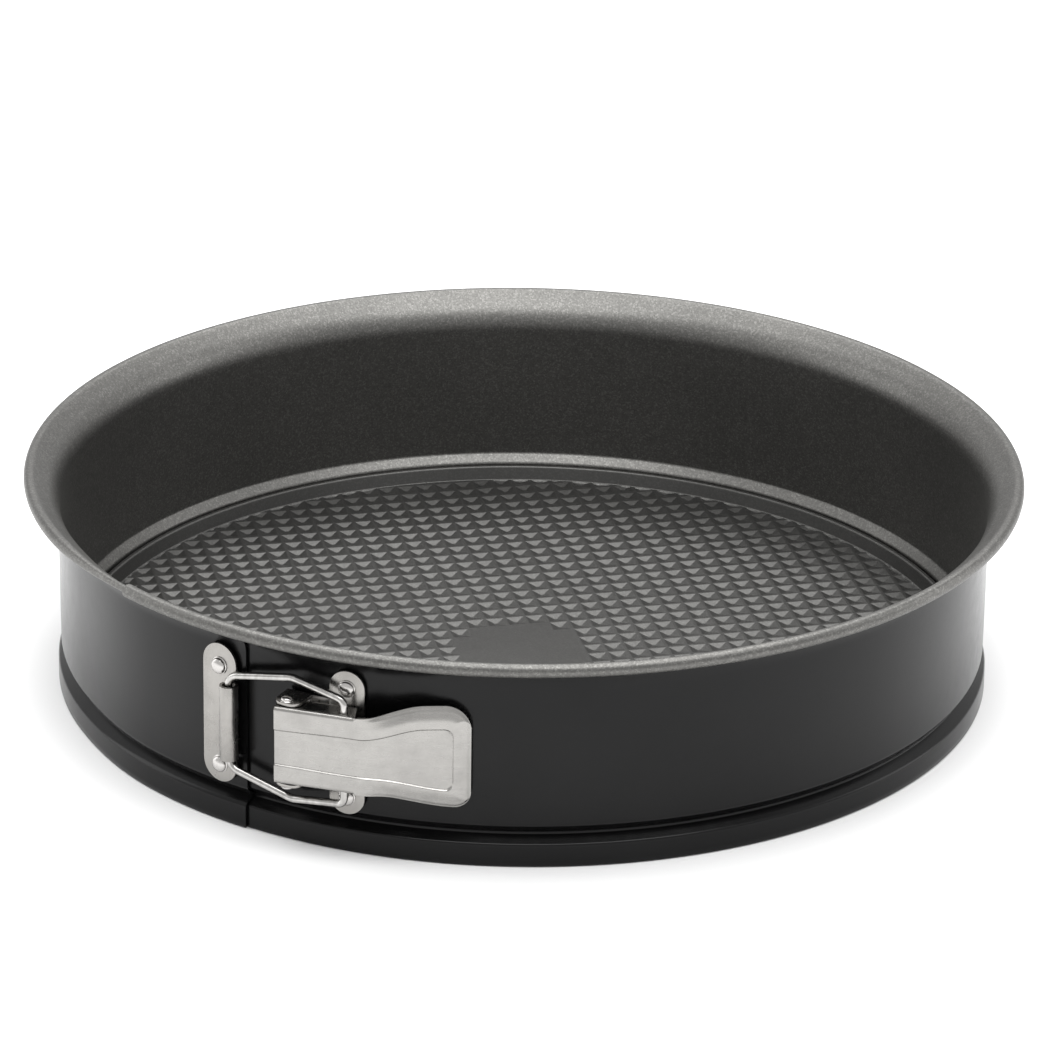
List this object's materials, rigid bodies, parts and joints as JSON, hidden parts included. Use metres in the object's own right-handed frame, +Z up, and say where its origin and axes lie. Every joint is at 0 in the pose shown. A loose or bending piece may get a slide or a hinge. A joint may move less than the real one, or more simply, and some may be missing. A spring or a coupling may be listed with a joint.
{
  "type": "springform cake pan",
  "caption": "Round springform cake pan: a split ring with flared rolled rim, closed by a wire and lever latch, round a loose lipped base.",
  "frame": {"origin": "on the pan's axis at table level", "axes": "+Z up along the pan's axis; the ring's lap and its latch face -Y, the lever lies towards +X"},
  "size_m": [0.3, 0.301, 0.0662],
  "materials": {
    "nonstick_base": "dark grey non-stick coating with a fine metallic flake",
    "enamel_band": "glossy black outside, grey flake non-stick inside",
    "satin_steel": "satin nickel-plated sheet",
    "lever_steel": "satin pressed sheet",
    "wire_steel": "bright drawn wire",
    "rivet_steel": "bright domed heads"
  },
  "bodies": {
    "base": {"base_plate": "nonstick_base"},
    "ring_back": {"band_back": "enamel_band"},
    "ring_left": {"band_left": "enamel_band", "catch_plate": "satin_steel", "catch_rivet_upper": "rivet_steel", "catch_rivet_lower": "rivet_steel"},
    "ring_right": {"band_right": "enamel_band", "hinge_plate": "satin_steel", "hinge_plate_rivet_upper": "rivet_steel", "hinge_plate_rivet_lower": "rivet_steel", "pivot_rivet_upper": "rivet_steel", "pivot_rivet_lower": "rivet_steel"},
    "bail": {"wire_bail": "wire_steel"},
    "lever_arm": {"lever": "lever_steel"}
  },
  "joints": [
    {"name": "ring_lift", "type": "slide", "parent": "base", "child": "ring_back", "axis": [0, 0, 1], "range_m": [0, 0.08]},
    {"name": "left_flex", "type": "hinge", "parent": "ring_back", "child": "ring_left", "pos_m": [-0.07525, 0.13034, 0.0342], "axis": [0, 0, -1], "range_deg": [0, 2.3]},
    {"name": "right_flex", "type": "hinge", "parent": "ring_back", "child": "ring_right", "pos_m": [0.07525, 0.13034, 0.0342], "axis": [0, 0, 1], "range_deg": [0, 2.3]},
    {"name": "lever_swing", "type": "hinge", "parent": "ring_right", "child": "lever_arm", "pos_m": [0.0188, -0.1468, 0.0342], "axis": [0, 0, -1], "range_deg": [0, 140]},
    {"name": "wire_swing", "type": "hinge", "parent": "ring_left", "child": "bail", "pos_m": [-0.0052, -0.14375, 0.0342], "axis": [0, 0, -1], "range_deg": [0, 25]}
  ],
  "couplings": [
    {"joint": "left_flex", "follows": "lever_swing", "ratio": 0.016082},
    {"joint": "right_flex", "follows": "lever_swing", "ratio": 0.016082},
    {"joint": "wire_swing", "follows": "lever_swing", "ratio": 0.17661}
  ]
}
